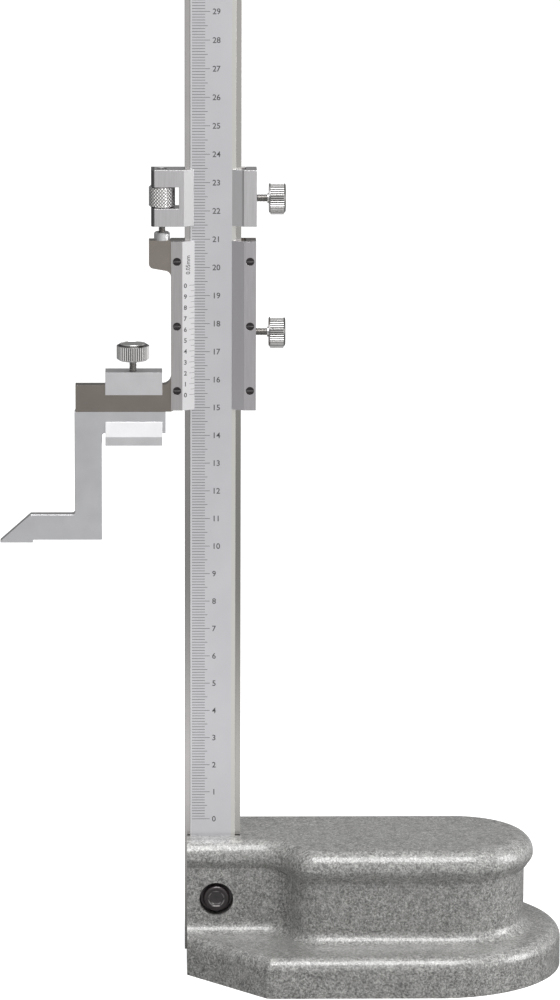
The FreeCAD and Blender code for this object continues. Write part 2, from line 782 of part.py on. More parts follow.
def make_carrier():
    """One-piece block of the fine feed, clamped on the beam above the slider. A notch in its
    left side holds the feed nut."""
    body = new_body("feed_carrier", z=CARRIER_BOTTOM)
    section = [
        ("-carrier_left", "-plate_thickness"),
        ("-(carrier_bevel_edge + carrier_bevel)", "-plate_thickness"),
        ("-carrier_bevel_edge", "-(face_clearance + plate_lip)"),
        ("-carrier_bevel_edge", "-face_clearance"),
        (f"-{STEP_HALF}", "-face_clearance"),
        (f"-{STEP_HALF}", LAND),
        (f"-{GUIDE_LEFT}", LAND),
        (f"-{GUIDE_LEFT}", GUIDE_BACK),
        (GUIDE_RIGHT, GUIDE_BACK),
        (GUIDE_RIGHT, LAND),
        (STEP_HALF, LAND),
        (STEP_HALF, "-face_clearance"),
        ("carrier_retainer_edge", "-face_clearance"),
        ("carrier_retainer_edge", "-(face_clearance + plate_lip)"),
        ("carrier_retainer_edge + carrier_retainer_bevel", "-plate_thickness"),
        ("carrier_right", "-plate_thickness"),
        ("carrier_right", SLIDER_BACK),
        ("-carrier_left", SLIDER_BACK),
    ]
    pad(body, outline(body, "section", "XY_Plane", section), "carrier_height")
    dress(body, "Fillet", "carrier_end_round",
          upright_at(-number("carrier_left"), -number("plate_thickness")), "end_round")
    notch = [
        ("-carrier_left - cut_beyond", "notch_bottom"),
        ("-notch_wall", "notch_bottom"),
        ("-notch_wall", "notch_bottom + notch_height"),
        ("-carrier_left - cut_beyond", "notch_bottom + notch_height"),
    ]
    pocket(body, outline(body, "notch", "XZ_Plane", notch), "2 * deck_radius", both=True)
    pocket(body, circle_sketch(body, "rod_bore", "XY_Plane", [("-feed_rod_x", WING_MIDDLE)],
                               "feed_rod_bore", offset="-cut_beyond"),
           "carrier_height + 2 * cut_beyond", reverse=True)
    pocket(body, circle_sketch(body, "lock_thread", "YZ_Plane",
                               [(WING_MIDDLE, "carrier_lock_height")],
                               "stem_diameter + 2 * thread_clearance", offset=BEAM_HALF),
           "carrier_right", reverse=True)
    return body


def make_feed_nut():
    """Knurled nut in the carrier's notch, on the rod's thread."""
    body = new_body("feed_nut", "-feed_rod_x", WING_MIDDLE,
                    f"{CARRIER_BOTTOM} + notch_bottom + feed_nut_play")
    bore = "feed_rod_diameter / 2 + thread_clearance"
    rim = "feed_nut_diameter / 2"
    height = "(notch_height - 2 * feed_nut_play)"
    profile = [
        (bore, "0"),
        (f"{rim} - feed_nut_chamfer", "0"),
        (rim, "feed_nut_chamfer"),
        (rim, f"{height} - feed_nut_chamfer"),
        (f"{rim} - feed_nut_chamfer", height),
        (bore, height),
    ]
    revolve(body, outline(body, "profile", "XZ_Plane", profile))
    return body


SIDEWAYS = FreeCAD.Rotation(FreeCAD.Vector(0, 1, 0), 90)
UPRIGHT = FreeCAD.Rotation()


def make_knob(name, x, y, z, rotation):
    """Head of a thumb screw, with a knurled band between two bevelled ends. Its axis leaves
    the object, and its origin is the inner face of the head. The ridges of the knurl rise from
    the turned core and meet in valleys just above it."""
    body = new_body(name, x, y, z, rotation)
    bore = "(stem_diameter / 2 + fit_clearance)"
    boss = "knob_boss_diameter / 2"
    rim = "(knob_diameter / 2)"
    valley = f"({rim} - knurl_depth)"
    core = f"({valley} - knurl_core_gap)"
    shoulder = f"({core} - knurl_core_gap)"
    profile = [
        (bore, "-knob_boss_length"),
        (boss, "-knob_boss_length"),
        (boss, "0"),
        (f"{shoulder} - knob_chamfer", "0"),
        (shoulder, "knob_chamfer"),
        (core, "knob_chamfer"),
        (core, "knob_length - knob_chamfer"),
        (shoulder, "knob_length - knob_chamfer"),
        (f"{shoulder} - knob_chamfer", "knob_length"),
        ("knob_crown_face / 2", "knob_length + knob_crown"),
        ("0", "knob_length + knob_crown"),
        ("0", "stem_embed + fit_clearance"),
        (bore, "stem_embed + fit_clearance"),
    ]
    revolve(body, outline(body, "profile", "XZ_Plane", profile))
    foot = f"({core} - knurl_core_gap / 2)"
    spread = f"(({valley} * tan(180 / knurl_count) - knurl_crest / 2) / knurl_depth)"
    foot_half = f"(knurl_crest / 2 + {spread} * ({rim} - {foot}))"
    ridge = [
        (foot, f"-{foot_half}"),
        (rim, "-knurl_crest / 2"),
        (rim, "knurl_crest / 2"),
        (foot, foot_half),
    ]
    tooth = pad(body, outline(body, "ridge", "XY_Plane", ridge, offset="knob_chamfer"),
                "knob_length - 2 * knob_chamfer")
    pattern = body.newObject("PartDesign::PolarPattern", "knurl")
    pattern.Originals = [tooth]
    pattern.Axis = (tooth.Profile[0], ["N_Axis"])
    pattern.Angle = 360
    pattern.setExpression("Occurrences", formula("knurl_count"))
    body.Tip = pattern
    doc.recompute()
    return body


def make_stem(name, x, y, z, rotation, reach):
    """Threaded stem of a thumb screw. Its origin is the inner face of the head, and it
    reaches back from there to what it presses."""
    body = new_body(name, x, y, z, rotation)
    radius = "stem_diameter / 2"
    profile = [
        ("0", f"-({reach})"),
        (f"{radius} - thread_lead", f"-({reach})"),
        (radius, f"-({reach}) + thread_lead"),
        (radius, "stem_embed"),
        ("0", "stem_embed"),
    ]
    revolve(body, outline(body, "profile", "XZ_Plane", profile))
    return body


def make_thumb_screws():
    """The two lock screws at the right, and the screw of the scriber clamp."""
    side = "lock_knob_face"
    side_reach = f"{side} - {GIB_OUTER} - stem_tip_gap"
    slider_line = f"slider_bottom + {SLIDER_LOCK_HEIGHT}"
    carrier_line = f"{CARRIER_BOTTOM} + carrier_lock_height"
    clamp_line = f"-{CLAMP_SCREW_LINE}"
    clamp_face = f"{ARM_BOTTOM} + clamp_knob_height"
    clamp_reach = "clamp_knob_height - arm_height - stem_tip_gap"
    made = []
    for name, x, z, rotation, reach in (
            ("slider_lock", side, slider_line, SIDEWAYS, side_reach),
            ("carrier_lock", side, carrier_line, SIDEWAYS, side_reach),
            ("scriber_clamp", clamp_line, clamp_face, UPRIGHT, clamp_reach)):
        made.append(make_knob(f"{name}_knob", x, WING_MIDDLE, z, rotation))
        made.append(make_stem(f"{name}_stem", x, WING_MIDDLE, z, rotation, reach))
    return made


def make_scriber():
    """Flat scriber: a shank under the arm, a leg and a foot that ends in a bevelled edge."""
    body = new_body("scriber", y=WING_MIDDLE, z=f"{ARM_BOTTOM} - scriber_seat_gap")
    leg_right = "-(scriber_leg_left - scriber_leg_width)"
    foot_top = "-(scriber_heel_drop - scriber_foot_height)"
    profile = [
        ("-scriber_leg_left", "0"),
        ("-scriber_leg_left", foot_top),
        ("-scriber_slope_start", foot_top),
        ("-scriber_tip", "-(scriber_tip_drop - scriber_edge_height)"),
        ("-scriber_tip", "-scriber_tip_drop"),
        ("-scriber_step", "-scriber_tip_drop"),
        ("-scriber_step", "-scriber_heel_drop"),
        (leg_right, "-scriber_heel_drop"),
        (leg_right, "-scriber_shank_height"),
        ("-scriber_right", "-scriber_shank_height"),
        ("-scriber_right", "0"),
    ]
    pad(body, outline(body, "profile", "XZ_Plane", profile), "scriber_thickness", both=True)
    corners = [(-number("scriber_leg_left"), number(foot_top)),
               (number(leg_right), -number("scriber_shank_height"))]
    for label, (x, z) in zip(("foot", "shank"), corners):
        dress(body, "Fillet", "scriber_corner_round", along_y_at(x, z), f"{label}_corner")
    return body


def make_scriber_clamp():
    """C-section clamp, open in front, that draws the scriber's shank up against the arm."""
    body = new_body("scriber_clamp_body", x="-clamp_left", z=ARM_BOTTOM)
    front = "-(clamp_side_clearance + clamp_lip)"
    inner = "-clamp_side_clearance"
    back = "(wing_thickness + clamp_side_clearance)"
    roof = "(arm_height + clamp_roof_gap)"
    floor = "-(scriber_seat_gap + scriber_shank_height + clamp_side_clearance)"
    section = [
        (f"{back} + clamp_back", f"{floor} - clamp_floor"),
        (f"{back} + clamp_back", f"{roof} + clamp_roof"),
        (front, f"{roof} + clamp_roof"),
        (front, "arm_height - clamp_upper_lip_drop"),
        (inner, "arm_height - clamp_upper_lip_drop"),
        (inner, roof),
        (back, roof),
        (back, floor),
        (inner, floor),
        (inner, f"{floor} + clamp_lower_lip_rise"),
        (f"{inner} - clamp_lip_edge", f"{floor} + clamp_lower_lip_rise"),
        (front, f"{floor} + clamp_lower_lip_rise - clamp_bevel_height"),
        (front, f"{floor} - clamp_floor"),
    ]
    pad(body, outline(body, "section", "YZ_Plane", section), "clamp_length")
    pocket(body, circle_sketch(body, "screw_thread", "XY_Plane",
                               [("clamp_screw_from_left", WING_MIDDLE)],
                               "stem_diameter + 2 * thread_clearance",
                               offset=f"{roof} - clamp_side_clearance"),
           "clamp_roof + cut_beyond", reverse=True)
    return body


nodes = [
    make_base(),
    make_beam(),
    make_clamp_screw(),
    make_clamp_washer(),
    make_slider_frame(),
    make_vernier_plate(),
    make_retaining_plate(),
    make_plate_screws("vernier_plate_screws", "-(slider_left - plate_screw_inset)"),
    make_plate_screws("retaining_plate_screws", "slider_right - plate_screw_inset"),
    make_gib("slider_gib", "slider_bottom", "slider_height"),
    make_feed_rod(),
    make_feed_collar(),
    make_carrier(),
    make_gib("carrier_gib", CARRIER_BOTTOM, "carrier_height"),
    make_feed_nut(),
    make_scriber(),
    make_scriber_clamp(),
]
nodes += make_thumb_screws()
doc.recompute()

for item in doc.Objects:
    if {"Invalid", "Error"} & set(item.State):
        raise RuntimeError(f"{item.Label} failed: {item.State}")
os.makedirs("parts", exist_ok=True)
for node in nodes:
    shape = node.Shape
    if shape.isNull() or not shape.isValid():
        raise RuntimeError(f"{node.Label} has no valid shape")
    shape.exportStep(f"parts/{node.Label}.step")
    box = shape.BoundBox
    print(f"{node.Label}: {len(shape.Solids)} solid(s), {shape.Volume:.1f} mm3, "
          f"{box.XLength:.1f} x {box.YLength:.1f} x {box.ZLength:.1f}")
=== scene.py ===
import math

import bmesh
import bpy
from mathutils import Matrix, Vector


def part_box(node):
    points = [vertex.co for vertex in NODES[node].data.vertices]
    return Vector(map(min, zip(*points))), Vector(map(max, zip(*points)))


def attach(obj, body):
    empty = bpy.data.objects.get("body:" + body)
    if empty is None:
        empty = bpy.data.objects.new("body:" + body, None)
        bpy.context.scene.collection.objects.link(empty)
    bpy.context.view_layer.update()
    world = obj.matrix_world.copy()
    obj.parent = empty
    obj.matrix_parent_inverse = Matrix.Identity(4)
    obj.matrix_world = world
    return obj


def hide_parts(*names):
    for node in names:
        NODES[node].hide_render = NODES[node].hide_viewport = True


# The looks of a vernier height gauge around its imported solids. Blender counts in metres. The
# numbers below are millimetres unless they say otherwise, in the part's own frame: +Z up, X = 0
# on the beam's centre line, Y = 0 on the graduated face.
MM = 0.001
FULL_TURN = 2 * math.pi
# A place outside the part, for a band that a piece doesn't have.
NOWHERE = 100.0

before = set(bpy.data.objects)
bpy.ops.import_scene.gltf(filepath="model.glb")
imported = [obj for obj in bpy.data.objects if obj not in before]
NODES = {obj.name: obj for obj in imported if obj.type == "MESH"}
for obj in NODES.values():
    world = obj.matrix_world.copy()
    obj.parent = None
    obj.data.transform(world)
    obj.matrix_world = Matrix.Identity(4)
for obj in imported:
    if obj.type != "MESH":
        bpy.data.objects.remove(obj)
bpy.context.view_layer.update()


# Materials

class Shader:
    """A material built from nodes, with the object's own coordinates in millimetres."""

    def __init__(self, name):
        self.material = bpy.data.materials.new(name)
        self.material.use_nodes = True
        self.tree = self.material.node_tree
        self.tree.nodes.clear()
        self.out = self.add("ShaderNodeOutputMaterial")
        self.surface = self.add("ShaderNodeBsdfPrincipled")
        self.link(self.surface.outputs["BSDF"], self.out.inputs["Surface"])
        place = self.add("ShaderNodeTexCoord")
        scale = self.add("ShaderNodeMapping")
        scale.inputs["Scale"].default_value = (1 / MM,) * 3
        self.link(place.outputs["Object"], scale.inputs["Vector"])
        self.mm = scale.outputs["Vector"]

    def add(self, kind, **settings):
        node = self.tree.nodes.new(kind)
        for key, value in settings.items():
            setattr(node, key, value)
        return node

    def link(self, output, socket):
        self.tree.links.new(output, socket)

    def set(self, **values):
        for key, value in values.items():
            self.surface.inputs[key.replace("_", " ")].default_value = value

    def axes(self):
        """The millimetre coordinates one by one."""
        node = self.add("ShaderNodeSeparateXYZ")
        self.link(self.mm, node.inputs[0])
        return node.outputs

    def stretched(self, x, y, z):
        """The millimetre coordinates with a scale of their own on each axis."""
        node = self.add("ShaderNodeMapping")
        node.inputs["Scale"].default_value = (x, y, z)
        self.link(self.mm, node.inputs["Vector"])
        return node.outputs["Vector"]

    def noise(self, vector, scale, detail=3.0, roughness=0.5, output="Fac"):
        node = self.add("ShaderNodeTexNoise")
        node.inputs["Scale"].default_value = scale
        node.inputs["Detail"].default_value = detail
        node.inputs["Roughness"].default_value = roughness
        self.link(vector, node.inputs["Vector"])
        return node.outputs[output]

    def ramp(self, factor, *stops):
        """Colours or greys between stops, each a position and its colour."""
        node = self.add("ShaderNodeValToRGB")
        elements = node.color_ramp.elements
        while len(elements) < len(stops):
            elements.new(0.5)
        for element, (position, colour) in zip(elements, stops):
            element.position = position
            element.color = (*colour, 1) if isinstance(colour, tuple) else (colour,) * 3 + (1,)
        self.link(factor, node.inputs["Fac"])
        return node.outputs["Color"]

    def ranged(self, factor, low=0.0, high=1.0, start=0.0, end=1.0):
        """A line that is low where the factor is start, and high where it is end."""
        node = self.add("ShaderNodeMapRange")
        for name, value in (("From Min", start), ("From Max", end), ("To Min", low),
                            ("To Max", high)):
            node.inputs[name].default_value = value
        self.link(factor, node.inputs["Value"])
        return node.outputs["Result"]

    def maths(self, operation, a, b=None):
        node = self.add("ShaderNodeMath", operation=operation)
        for socket, value in zip(node.inputs, (a, b)):
            if value is None:
                continue
            if isinstance(value, (int, float)):
                socket.default_value = value
            else:
                self.link(value, socket)
        return node.outputs[0]

    def mixed(self, factor, a, b):
        """A colour that is a where the factor is 0, and b where it is 1."""
        node = self.add("ShaderNodeMix", data_type="RGBA")
        for name, value in (("Factor", factor), ("A", a), ("B", b)):
            socket = next(s for s in node.inputs if s.name == name and s.enabled)
            if isinstance(value, tuple):
                socket.default_value = (*value, 1)
            else:
                self.link(value, socket)
        return next(s for s in node.outputs if s.name == "Result" and s.enabled)

    def from_axis(self, place, centre, across):
        """How far a point is from the line through centre. across are the two axes that the line
        doesn't follow."""
        squares = []
        for axis in across:
            offset = self.maths("SUBTRACT", place[axis], centre[axis] / MM)
            squares.append(self.maths("MULTIPLY", offset, offset))
        return self.maths("SQRT", self.maths("ADD", *squares))

    def colour(self, output):
        self.link(output, self.surface.inputs["Base Color"])

    def roughness(self, output):
        self.link(output, self.surface.inputs["Roughness"])

    def bump(self, height, depth, strength):
        node = self.add("ShaderNodeBump")
        node.inputs["Distance"].default_value = depth * MM
        node.inputs["Strength"].default_value = strength
        self.link(height, node.inputs["Height"])
        self.link(node.outputs["Normal"], self.surface.inputs["Normal"])


def middle(node):
    low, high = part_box(node)
    return (low + high) / 2


def hammered_paint():
    """Grey hammered paint: a grain of dark specks and veins that gathers in patches, glossy and
    dimpled."""
    grain_share = 0.78
    drift_reach = 1.6
    shade = Shader("hammered_paint")
    drifted = shade.add("ShaderNodeVectorMath", operation="MULTIPLY_ADD")
    drifted.inputs[1].default_value = (drift_reach,) * 3
    shade.link(shade.noise(shade.mm, 0.9, detail=2.0, output="Color"), drifted.inputs[0])
    shade.link(shade.mm, drifted.inputs[2])
    drifted = drifted.outputs[0]
    grain = shade.noise(drifted, 1.25, detail=2.5, roughness=0.62)
    vein = shade.noise(drifted, 0.80, detail=2.0, roughness=0.6)
    blotch = shade.noise(shade.mm, 0.32, detail=2.0)
    patch = shade.noise(shade.mm, 0.05, detail=2.0)
    tone = shade.maths("ADD", shade.maths("MULTIPLY", grain, grain_share),
                       shade.maths("MULTIPLY", blotch, 1 - grain_share))
    paint = shade.ramp(tone, (0.385, (0.066, 0.064, 0.062)), (0.455, (0.200, 0.199, 0.191)),
                       (0.53, (0.312, 0.310, 0.298)), (0.66, (0.485, 0.481, 0.466)))
    off_vein = shade.maths("ABSOLUTE", shade.maths("SUBTRACT", vein, 0.5))
    darkness = shade.ramp(off_vein, (0.0, 0.85), (0.050, 0.0))
    veined = shade.mixed(darkness, paint, (0.062, 0.062, 0.060))
    shade.colour(shade.mixed(shade.ranged(patch, high=0.38), veined, (0.265, 0.266, 0.258)))
    shade.set(Metallic=0.1, IOR=1.5, Coat_Weight=1.0, Coat_Roughness=0.20)
    shade.roughness(shade.ranged(grain, 0.30, 0.44))
    shade.bump(tone, depth=0.80, strength=0.5)
    return shade.material


def steel(name, tint, rough, grain):
    """Bright metal with fine grinding marks and faint clouding. grain is how often the marks
    change on each axis."""
    shade = Shader(name)
    marks = shade.noise(shade.stretched(*grain), 1.0, detail=4.0, roughness=0.6)
    cloudy = shade.noise(shade.mm, 0.12)
    darker = tuple(part * 0.94 for part in tint)
    lighter = tuple(part * 1.06 for part in tint)
    shade.colour(shade.ramp(cloudy, (0.25, darker), (0.75, lighter)))
    shade.set(Metallic=1.0)
    shade.roughness(shade.ranged(marks, rough * 0.85, rough * 1.15))
    shade.bump(marks, depth=0.004, strength=0.5)
    return shade.material


def beam_steel():
    """Satin chrome on the raised face, with a painted highlight along its left step and a painted
    warm reflection along its right one. The shoulders, edges and back are ground, painted lighter
    on the left and darker and warmer on the right as painted reflection."""
    shoulder_start, face_depth = 7.94, 0.05
    step_highlight_end, warm_reflection_start = -7.60, 6.60
    shade = Shader("beam_chrome")
    place = shade.axes()
    shoulder = shade.maths("GREATER_THAN", shade.maths("ABSOLUTE", place["X"]), shoulder_start)
    behind = shade.maths("GREATER_THAN", place["Y"], face_depth)
    is_ground = shade.maths("MAXIMUM", shoulder, behind)
    cloudy = shade.noise(shade.mm, 0.06)
    satin = shade.ramp(cloudy, (0.3, (0.640, 0.636, 0.662)), (0.7, (0.680, 0.675, 0.700)))
    # Painted reflection: a warm strip along the face's right edge. Painted highlight: a bright
    # line along its left step.
    is_warm_reflection = shade.maths("GREATER_THAN", place["X"], warm_reflection_start)
    is_step_highlight = shade.maths("LESS_THAN", place["X"], step_highlight_end)
    warm_reflected = shade.mixed(is_warm_reflection, satin, (0.675, 0.667, 0.632))
    face = shade.mixed(is_step_highlight, warm_reflected, (0.86, 0.86, 0.86))
    # Painted reflection: the ground metal is lighter on the left and darker and warmer on the
    # right.
    left = shade.ramp(cloudy, (0.3, (0.42, 0.405, 0.400)), (0.7, (0.47, 0.455, 0.450)))
    is_right = shade.maths("GREATER_THAN", place["X"], 0.0)
    ground = shade.mixed(is_right, left, (0.395, 0.385, 0.368))
    shade.colour(shade.mixed(is_ground, face, ground))
    marks = shade.noise(shade.stretched(30.0, 30.0, 0.5), 1.0, detail=4.0, roughness=0.6)
    rough = shade.add("ShaderNodeMix", data_type="FLOAT")
    shade.link(is_ground, rough.inputs["Factor"])
    shade.link(shade.ranged(shade.noise(shade.mm, 9.0, detail=2.0), 0.36, 0.44), rough.inputs["A"])
    shade.link(shade.ranged(marks, 0.14, 0.20), rough.inputs["B"])
    shade.roughness(rough.outputs["Result"])
    shade.set(Metallic=1.0)
    shade.bump(marks, depth=0.003, strength=0.4)
    return shade.material


def plate_steel(name, flat, left, right, edge, painted_shade_end=-NOWHERE):
    """Chromed plate: a streaked flat farther out than edge, and toward the beam a plain bevel,
    painted one tone on the left and another on the right as painted highlight and shade, by the
    way each bevel faces. On the left of painted_shade_end, the rounded edge is painted dark as
    painted shade."""
    shade = Shader(name)
    place = shade.axes()
    is_bevel = shade.maths("LESS_THAN", shade.maths("ABSOLUTE", place["X"]), edge)
    marks = shade.noise(shade.stretched(14.0, 14.0, 0.10), 1.0, detail=4.0, roughness=0.6)
    streaks = shade.ramp(marks, (0.30, tuple(part * 0.86 for part in flat)),
                         (0.70, tuple(part * 1.12 for part in flat)))
    # The bevel's left and right tones are painted highlight and shade.
    is_right = shade.maths("GREATER_THAN", place["X"], 0.0)
    plate = shade.mixed(is_bevel, streaks, shade.mixed(is_right, left, right))
    # Painted shade: the rounded edge on the far left is painted dark.
    in_painted_shade = shade.maths("LESS_THAN", place["X"], painted_shade_end)
    shade.colour(shade.mixed(in_painted_shade, plate, (0.17, 0.165, 0.17)))
    shade.set(Metallic=1.0)
    shade.roughness(shade.ranged(marks, 0.29, 0.39))
    shade.bump(marks, depth=0.003, strength=0.4)
    return shade.material


def black_oxide():
    """Blackened steel, worn a little lighter in places."""
    shade = Shader("black_oxide")
    wear = shade.noise(shade.mm, 1.6, detail=4.0, roughness=0.7)
    shade.colour(shade.ramp(wear, (0.35, (0.028, 0.021, 0.022)), (0.75, (0.070, 0.056, 0.058))))
    shade.set(Metallic=0.5, Coat_Weight=0.6, Coat_Roughness=0.12)
    shade.roughness(shade.ranged(wear, 0.26, 0.38))
    shade.bump(wear, depth=0.01, strength=0.4)
    return shade.material


def socket_screw():
    """Blackened cap screw, with a painted highlight ring round its socket and greyer metal inside.
    """
    head_radius = 5.0
    shade = Shader("blackened_cap_screw")
    distance = shade.from_axis(shade.axes(), middle("beam_clamp_screw"), across=(0, 2))
    wear = shade.noise(shade.mm, 0.9, roughness=0.7)
    outward = shade.maths("ADD", shade.maths("DIVIDE", distance, head_radius),
                          shade.maths("MULTIPLY", wear, 0.03))
    # Painted highlight: the bright ring round the socket.
    shade.colour(shade.ramp(outward, (0.0, (0.034, 0.030, 0.031)), (0.50, (0.060, 0.054, 0.055)),
                            (0.545, (0.300, 0.285, 0.285)), (0.60, (0.055, 0.045, 0.047)),
                            (0.66, (0.016, 0.011, 0.012)), (0.84, (0.030, 0.022, 0.024))))
    shade.set(Metallic=0.6, Coat_Weight=0.8, Coat_Roughness=0.10)
    shade.roughness(shade.ranged(wear, 0.26, 0.38))
    shade.bump(wear, depth=0.02, strength=0.4)
    return shade.material


def slotted_screw():
    """Blackened screw head, with its slot painted lighter as a painted highlight."""
    slot_start = -2.15
    shade = Shader("blackened_screw")
    wear = shade.noise(shade.mm, 2.2, roughness=0.7)
    skin = shade.ramp(wear, (0.35, (0.022, 0.018, 0.020)), (0.80, (0.075, 0.068, 0.070)))
    in_slot = shade.maths("GREATER_THAN", shade.axes()["Y"], slot_start)
    # Painted highlight: the slot is lighter.
    shade.colour(shade.mixed(in_slot, skin, (0.20, 0.195, 0.195)))
    shade.set(Metallic=0.8)
    shade.roughness(shade.ranged(wear, 0.24, 0.40))
    shade.bump(wear, depth=0.01, strength=0.4)
    return shade.material


def knurled_steel(name, along, centre, crest, depth, tone, valley_shade, end=NOWHERE):
    """Plated knurl round the axis along through centre. It has the grey tone on its crests, at the
    radius crest, and the grey valley between them, painted darker there as painted shade in the
    hollows. Farther along than end, the metal near the rim is painted dark as painted shade."""
    below_valley, dark_ring = 0.1, 1.15
    shade = Shader(name)
    place = shade.axes()
    distance = shade.from_axis(place, centre, across=[k for k in range(3) if k != along])
    height = shade.ranged(distance, start=crest - depth - below_valley, end=crest)
    bright = (tone, tone * 0.99, tone * 0.98)
    # The valley greys are painted shade in the knurl's hollows.
    skin = shade.ramp(height, (0.0, bright), (0.18, bright), (0.21, valley_shade), (0.36, valley_shade * 1.8),
                      (0.62, bright))
    # Painted shade: the metal near the rim, past the end, is dark.
    past_end = shade.maths("GREATER_THAN", place[along], centre[along] / MM + end)
    near_rim = shade.maths("GREATER_THAN", distance, crest - dark_ring)
    is_dark = shade.maths("MULTIPLY", past_end, near_rim)
    shade.colour(shade.mixed(is_dark, skin, (0.10, 0.098, 0.096)))
    marks = shade.noise(shade.mm, 5.0)
    shade.set(Metallic=1.0)
    shade.roughness(shade.ranged(marks, 0.18, 0.26))
    shade.bump(marks, depth=0.004, strength=0.4)
    return shade.material


def scale_ink():
    """Filled engraving."""
    dark = 0.045
    shade = Shader("scale_ink")
    uneven = shade.noise(shade.mm, 1.1, roughness=0.6)
    shade.colour(shade.ramp(uneven, (0.3, dark), (0.8, (dark * 2, dark * 2, dark * 2.1))))
    shade.set(Roughness=0.6)
    shade.bump(uneven, depth=0.004, strength=0.3)
    return shade.material


PAINT = hammered_paint()
BEAM = beam_steel()
SATIN = steel("satin_chrome", (0.745, 0.74, 0.755), 0.30, grain=(0.3, 20.0, 20.0))
# The bevel on the side where a plate has none.
UNSEEN = (0.5, 0.5, 0.5)
# The bevel tones below are painted highlight and shade, and the carrier's dark left edge is
# painted shade.
VERNIER = plate_steel("vernier_chrome", flat=(0.485, 0.468, 0.470), left=(0.665, 0.655, 0.665),
                      right=UNSEEN, edge=10.70)
RETAINER = plate_steel("retainer_chrome", flat=(0.49, 0.475, 0.49), left=UNSEEN,
                       right=(0.74, 0.72, 0.75), edge=10.85)
CARRIER = plate_steel("carrier_chrome", flat=(0.605, 0.595, 0.605), left=(0.52, 0.515, 0.52),
                      right=(0.93, 0.925, 0.94), edge=10.15, painted_shade_end=-20.4)
POLISHED = steel("polished_steel", (0.300, 0.270, 0.243), 0.22, grain=(0.6, 40.0, 40.0))
GROUND = steel("ground_steel", (0.655, 0.655, 0.672), 0.30, grain=(0.5, 30.0, 30.0))
BRIGHT = steel("bright_chrome", (0.62, 0.615, 0.61), 0.16, grain=(6.0, 6.0, 6.0))
COLLAR = steel("collar_chrome", (0.66, 0.66, 0.665), 0.45, grain=(0.3, 20.0, 20.0))
THREAD = steel("thread_steel", (0.38, 0.37, 0.36), 0.20, grain=(6.0, 6.0, 6.0))
BLACK = black_oxide()
SCREW = slotted_screw()
CAP_SCREW = socket_screw()
INK = scale_ink()

FINISH = {
    "base": PAINT, "beam": BEAM, "beam_clamp_screw": CAP_SCREW, "beam_clamp_washer": BLACK,
    "slider_frame": POLISHED, "vernier_plate": VERNIER, "retaining_plate": RETAINER,
    "vernier_plate_screws": SCREW, "retaining_plate_screws": SCREW, "slider_gib": POLISHED,
    "feed_rod": BRIGHT, "feed_rod_collar": COLLAR, "feed_carrier": CARRIER,
    "carrier_gib": POLISHED, "feed_nut": BRIGHT, "scriber": GROUND, "scriber_clamp_body": SATIN,
    "slider_lock_knob": BRIGHT, "slider_lock_stem": BRIGHT, "carrier_lock_knob": BRIGHT,
    "carrier_lock_stem": BRIGHT, "scriber_clamp_knob": BRIGHT, "scriber_clamp_stem": BRIGHT,
}

for name, node in NODES.items():
    node.data.materials.clear()
    node.data.materials.append(FINISH[name])


# The solids that stay

# How far each piece's sharp edges are broken.
BEVELS = {
    "vernier_plate": 0.22, "retaining_plate": 0.22, "slider_frame": 0.22, "feed_carrier": 0.22,
    "scriber": 0.18, "scriber_clamp_body": 0.30, "beam": 0.12, "vernier_plate_screws": 0.10,
    "retaining_plate_screws": 0.10, "beam_clamp_screw": 0.25, "beam_clamp_washer": 0.25,
}

# From how many degrees on an edge counts as sharp.
SHARP_FROM = 32
FLATTER_EDGES = {
    "vernier_plate": 18, "retaining_plate": 18, "feed_carrier": 18, "scriber_clamp_body": 12,
}
WELD_REACH = 0.0005
FLAT_WITHIN = 0.5


def smooth(node, bevel, sharp_from):
    """Joins the solid's facets, breaks its sharp edges and shades it smoothly."""
    weld = node.modifiers.new("weld", "WELD")
    weld.merge_threshold = WELD_REACH * MM
    if bevel:
        flat = node.modifiers.new("flat", "DECIMATE")
        flat.decimate_type = "DISSOLVE"
        flat.angle_limit = math.radians(FLAT_WITHIN)
        edges = node.modifiers.new("edges", "BEVEL")
        edges.width = bevel * MM
        edges.segments = 2
        edges.limit_method = "ANGLE"
        edges.angle_limit = math.radians(sharp_from)
        edges.harden_normals = True
    for polygon in node.data.polygons:
        polygon.use_smooth = True
    if not bevel:
        split = node.modifiers.new("sharp", "EDGE_SPLIT")
        split.split_angle = math.radians(sharp_from)
        split.use_edge_sharp = False
    weighted = node.modifiers.new("normals", "WEIGHTED_NORMAL")
    weighted.keep_sharp = True


# Graduations

SCALE_ZERO = 53.6
SCALE_LAST = 340
TICK_START = -7.33
TICK_ENDS = {1: -2.78, 5: -1.88, 10: -1.05}
TICK_HALF = 0.085
DIGIT_HEIGHT = 2.0
DIGIT_WEIGHT = 0.012
DIGIT_X = 0.47
DIGIT_PITCH = 1.42

VERNIER_ZERO = 208.44
VERNIER_MARKS = 20
VERNIER_PITCH = 1.95
VERNIER_EDGE = -6.45
MARK_START, SHORT_MARK_START = -8.35, -7.75
MARK_END = -6.47
MARK_HALF = 0.05
VERNIER_DIGIT_X = -9.65
VERNIER_DIGIT_HEIGHT = 1.55
VERNIER_DIGIT_WEIGHT = 0.022
BEVEL_START = -10.70
PLATE_FRONT = -2.4
LIP_FRONT = -0.28
LEGEND_X, LEGEND_Z = -8.75, 251.4
LEGEND_HEIGHT = 1.45

# How far ink stands out of the metal, and how far it goes in.
PROUD = 0.012
SINK = 0.03


def mesh_object(name, bm, material, body):
    mesh = bpy.data.meshes.new(name)
    bm.normal_update()
    bm.to_mesh(mesh)
    bm.free()
    mesh.materials.append(material)
    item = bpy.data.objects.new(name, mesh)
    bpy.context.scene.collection.objects.link(item)
    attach(item, body)
    return item


